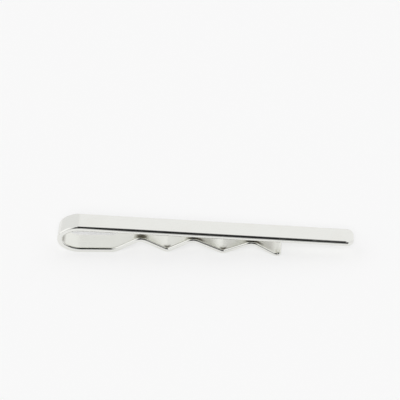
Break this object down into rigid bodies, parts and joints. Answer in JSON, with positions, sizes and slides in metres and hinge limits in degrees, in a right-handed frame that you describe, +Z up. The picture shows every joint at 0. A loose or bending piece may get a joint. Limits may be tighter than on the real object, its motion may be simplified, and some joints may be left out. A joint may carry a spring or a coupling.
{
  "type": "tie clip",
  "caption": "Slim polished silver tie clip: a flat front bar folded through a rounded bow into a springy wavy tongue that grips the tie and shirt.",
  "frame": {"origin": "centre of the clip's outline on the table it lies on, under the bow and the last valley of the tongue", "axes": "+X from the bow to the free end of the front bar, +Y across the strip away from the pictured side, +Z up through the front bar"},
  "size_m": [0.055, 0.005, 0.0056],
  "materials": {
    "polished_silver": "mirror polished sterling silver with faint handling scratches"
  },
  "bodies": {
    "waves": {"grip_wave_1": "polished_silver", "valley_bend_1": "polished_silver", "grip_wave_2": "polished_silver", "valley_bend_2": "polished_silver"},
    "leaf": {"tongue_leaf": "polished_silver", "root_bend": "polished_silver"},
    "bar": {"front_bar": "polished_silver", "bow_bend": "polished_silver"},
    "tip": {"grip_wave_3": "polished_silver"}
  },
  "joints": [
    {"name": "root_flex", "type": "hinge", "parent": "waves", "child": "leaf", "pos_m": [-0.01689, 0, 0.0008], "axis": [0, -1, 0], "range_deg": [0, 2.81], "deforming": ["root_bend"]},
    {"name": "bow_flex", "type": "hinge", "parent": "leaf", "child": "bar", "pos_m": [-0.02529, 0, 0.00278], "axis": [0, -1, 0], "range_deg": [0, 3], "stiffness_Nm_per_rad": 4.46, "deforming": ["bow_bend"]},
    {"name": "valley_2_flex", "type": "hinge", "parent": "waves", "child": "tip", "pos_m": [0.00323, 0, 0.00087], "axis": [0, 1, 0], "range_deg": [0, 1.59], "deforming": ["valley_bend_2"]}
  ],
  "couplings": [
    {"joint": "root_flex", "follows": "bow_flex", "ratio": 0.9375},
    {"joint": "valley_2_flex", "follows": "bow_flex", "ratio": 0.53125}
  ]
}
